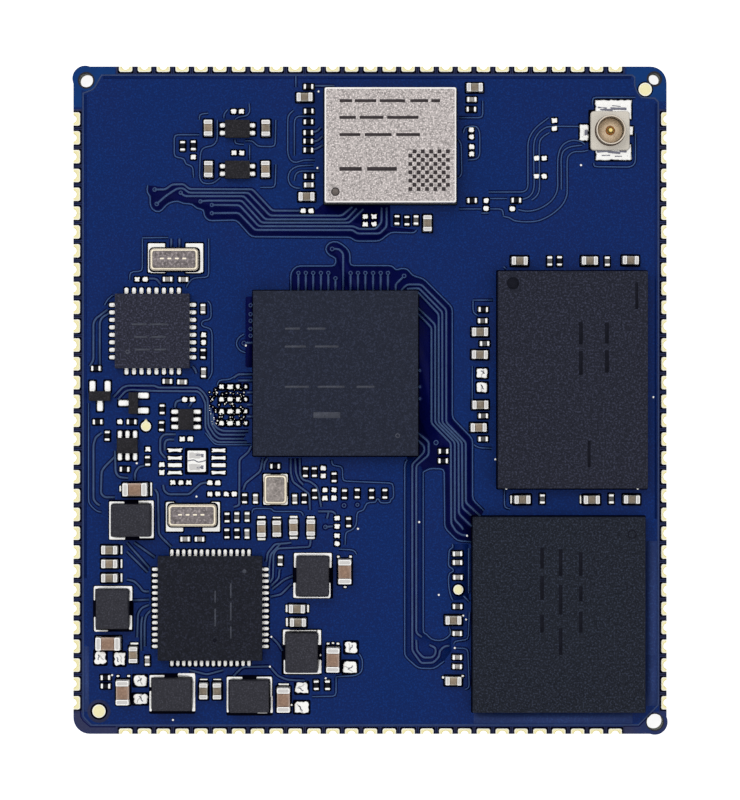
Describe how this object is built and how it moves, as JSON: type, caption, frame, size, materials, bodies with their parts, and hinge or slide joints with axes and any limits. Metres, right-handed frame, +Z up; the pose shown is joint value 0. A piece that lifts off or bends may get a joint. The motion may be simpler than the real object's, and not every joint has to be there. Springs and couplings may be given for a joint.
{
  "type": "castellated computer module",
  "caption": "Flat blue circuit board with half holes plated along its edges, carrying a processor, memory, a shielded radio, a coaxial jack and small soldered parts.",
  "frame": {"origin": "middle of the board's underside, on the surface that it lies on", "axes": "+Z up through the board to the side that carries the parts, +Y along the longer side towards the radio, +X across to the memory"},
  "size_m": [0.0402, 0.0452, 0.0026],
  "materials": {
    "mask": "blue solder mask, satin gloss",
    "plating": "pale immersion gold",
    "solder": "bright tin solder",
    "moulding": "fine matt moulding compound",
    "ferrite": "smooth matt iron powder moulding",
    "ceramic": "satin brown ceramic",
    "shield": "fine grained tinned steel",
    "rim_metal": "thin gold plating",
    "lid_metal": "matt nickel alloy",
    "jack_plastic": "off-white plastic",
    "laminate": "bare glass epoxy edge"
  },
  "bodies": {
    "root": {"board": "mask", "processor": "moulding", "memory": "moulding", "flash_memory": "moulding", "power_controller": "moulding", "microcontroller": "moulding", "radio_substrate": "laminate", "radio_chip": "moulding", "radio_shield": "shield", "crystal_1_base": "rim_metal", "crystal_1_lid": "lid_metal", "crystal_2_base": "rim_metal", "crystal_2_lid": "lid_metal", "oscillator_base": "rim_metal", "oscillator_lid": "lid_metal", "jack_base": "jack_plastic", "jack_shell": "solder", "jack_contact": "rim_metal", "load_switch_1": "moulding", "load_switch_2": "moulding", "transistor_1": "moulding", "transistor_2": "moulding", "logic_gate_1": "moulding", "logic_gate_2": "moulding", "inductor_1": "ferrite", "inductor_2": "ferrite", "inductor_3": "ferrite", "inductor_4": "ferrite", "inductor_5": "ferrite", "inductor_6": "ferrite", "large_capacitor_1": "ceramic", "large_capacitor_2": "ceramic", "large_capacitor_3": "ceramic", "large_capacitor_4": "ceramic", "large_capacitor_5": "ceramic", "large_capacitor_6": "ceramic", "small_capacitor_01": "ceramic", "small_capacitor_02": "ceramic", "small_capacitor_03": "ceramic", "small_capacitor_04": "ceramic", "small_capacitor_05": "ceramic", "small_capacitor_06": "ceramic", "small_capacitor_07": "ceramic", "small_capacitor_08": "ceramic", "small_capacitor_09": "ceramic", "small_capacitor_10": "ceramic", "small_capacitor_11": "ceramic", "small_capacitor_12": "ceramic", "small_capacitor_13": "ceramic", "small_capacitor_14": "ceramic", "small_capacitor_15": "ceramic", "small_capacitor_16": "ceramic", "small_capacitor_17": "ceramic", "small_capacitor_18": "ceramic", "small_capacitor_19": "ceramic", "small_capacitor_20": "ceramic", "small_capacitor_21": "ceramic", "small_capacitor_22": "ceramic", "small_capacitor_23": "ceramic", "small_capacitor_24": "ceramic"}
  },
  "joints": []
}
